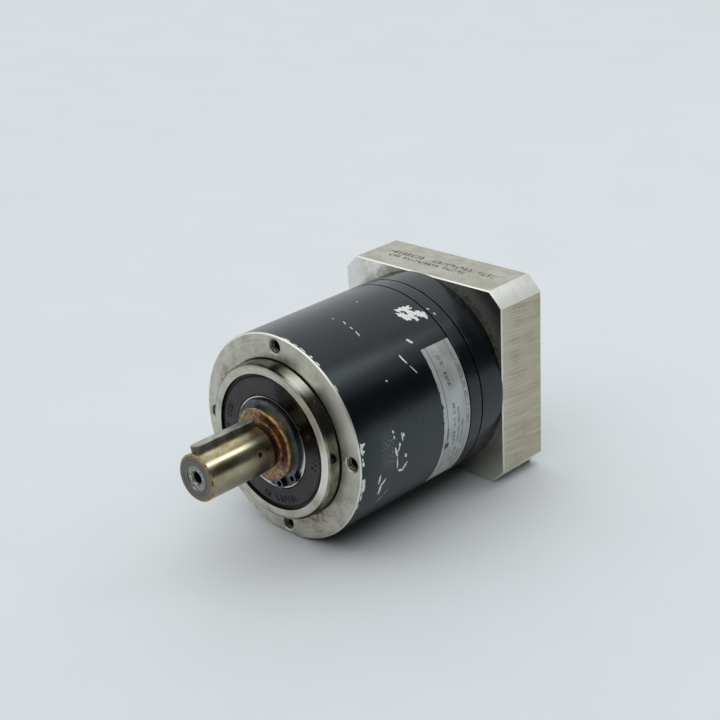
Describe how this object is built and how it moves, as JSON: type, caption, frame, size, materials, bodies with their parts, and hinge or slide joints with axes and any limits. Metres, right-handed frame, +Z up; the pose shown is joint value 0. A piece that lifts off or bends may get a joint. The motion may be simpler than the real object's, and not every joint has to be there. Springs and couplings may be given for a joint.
{
  "type": "planetary gearbox",
  "caption": "Inline planetary gearbox: round black body with a keyed output shaft and bolted pilot flange, and a square plate with a clamp hub for the motor.",
  "frame": {"origin": "centre of the output mounting face, on the gear axis", "axes": "-Y is the gear axis towards the output shaft's end, +Y towards the motor, +Z up, with the body and the plate's lower side both at Z -45 mm"},
  "size_m": [0.0902, 0.161, 0.09],
  "materials": {
    "black_paint": "satin, chipped",
    "bare_aluminium": "milled and sawn",
    "plug_plastic": "matt",
    "screw_steel": "black oxide",
    "seal_rubber": "satin",
    "label_foil": "satin foil",
    "spring_steel": "phosphated",
    "shaft_steel": "ground, tarnished",
    "key_steel": "drawn",
    "gear_steel": "case hardened and ground",
    "cage_plastic": "moulded",
    "bearing_steel": "ground"
  },
  "bodies": {
    "root": {"main_housing": "black_paint", "intermediate_flange": "black_paint", "rear_housing": "black_paint", "adapter_plate": "bare_aluminium", "access_plug": "plug_plastic", "casing_screws": "screw_steel", "plate_screws": "screw_steel", "flange_o_ring": "seal_rubber", "rear_housing_o_ring": "seal_rubber", "front_bearing_seal": "seal_rubber", "input_shaft_seal": "seal_rubber", "wave_washer": "spring_steel", "name_label": "label_foil", "ring_gear": "gear_steel", "front_bearing_outer_ring": "bearing_steel", "second_bearing_outer_ring": "bearing_steel", "input_bearing_outer_ring": "bearing_steel", "outer_bearing_spacer": "bearing_steel", "bearing_retaining_ring": "spring_steel"},
    "output": {"output_shaft": "shaft_steel", "shaft_key": "key_steel", "support_washer": "bearing_steel", "shaft_retaining_ring": "spring_steel", "front_bearing_inner_ring": "bearing_steel", "second_bearing_inner_ring": "bearing_steel", "inner_bearing_spacer": "bearing_steel", "carrier_rear_plate": "gear_steel", "carrier_screws": "screw_steel", "planet_thrust_washers": "bearing_steel", "planet_pin_1": "bearing_steel", "planet_pin_2": "bearing_steel", "planet_pin_3": "bearing_steel"},
    "input": {"input_shaft": "gear_steel", "input_bearing_inner_ring": "bearing_steel", "input_retaining_ring": "spring_steel", "clamp_ring": "gear_steel", "clamp_screw": "screw_steel"},
    "planet_1": {"planet_gear_1": "gear_steel", "planet_rollers_1": "bearing_steel"},
    "planet_2": {"planet_gear_2": "gear_steel", "planet_rollers_2": "bearing_steel"},
    "planet_3": {"planet_gear_3": "gear_steel", "planet_rollers_3": "bearing_steel"},
    "front_cage": {"front_bearing_balls": "bearing_steel", "front_bearing_cage": "cage_plastic"},
    "second_cage": {"second_bearing_balls": "bearing_steel", "second_bearing_cage": "cage_plastic"},
    "input_cage": {"input_bearing_balls": "bearing_steel", "input_bearing_cage": "cage_plastic"}
  },
  "joints": [
    {"name": "output_spin", "type": "hinge", "parent": "root", "child": "output", "pos_m": [0, 0, 0], "axis": [0, -1, 0], "continuous": true},
    {"name": "input_spin", "type": "hinge", "parent": "root", "child": "input", "pos_m": [0, 0.09, 0], "axis": [0, -1, 0], "continuous": true},
    {"name": "planet_1_spin", "type": "hinge", "parent": "output", "child": "planet_1", "pos_m": [0, 0.048, 0.02025], "axis": [0, -1, 0], "continuous": true},
    {"name": "planet_2_spin", "type": "hinge", "parent": "output", "child": "planet_2", "pos_m": [-0.01754, 0.048, -0.01013], "axis": [0, -1, 0], "continuous": true},
    {"name": "planet_3_spin", "type": "hinge", "parent": "output", "child": "planet_3", "pos_m": [0.01754, 0.048, -0.01013], "axis": [0, -1, 0], "continuous": true},
    {"name": "front_cage_spin", "type": "hinge", "parent": "root", "child": "front_cage", "pos_m": [0, 0.003, 0], "axis": [0, -1, 0], "continuous": true},
    {"name": "second_cage_spin", "type": "hinge", "parent": "root", "child": "second_cage", "pos_m": [0, 0.022, 0], "axis": [0, -1, 0], "continuous": true},
    {"name": "input_cage_spin", "type": "hinge", "parent": "root", "child": "input_cage", "pos_m": [0, 0.0689, 0], "axis": [0, -1, 0], "continuous": true}
  ],
  "couplings": [
    {"joint": "input_spin", "follows": "output_spin", "ratio": 5},
    {"joint": "planet_1_spin", "follows": "output_spin", "ratio": -2.6667},
    {"joint": "planet_2_spin", "follows": "output_spin", "ratio": -2.6667},
    {"joint": "planet_3_spin", "follows": "output_spin", "ratio": -2.6667},
    {"joint": "front_cage_spin", "follows": "output_spin", "ratio": 0.39647},
    {"joint": "second_cage_spin", "follows": "output_spin", "ratio": 0.39647},
    {"joint": "input_cage_spin", "follows": "output_spin", "ratio": 2.1909}
  ]
}
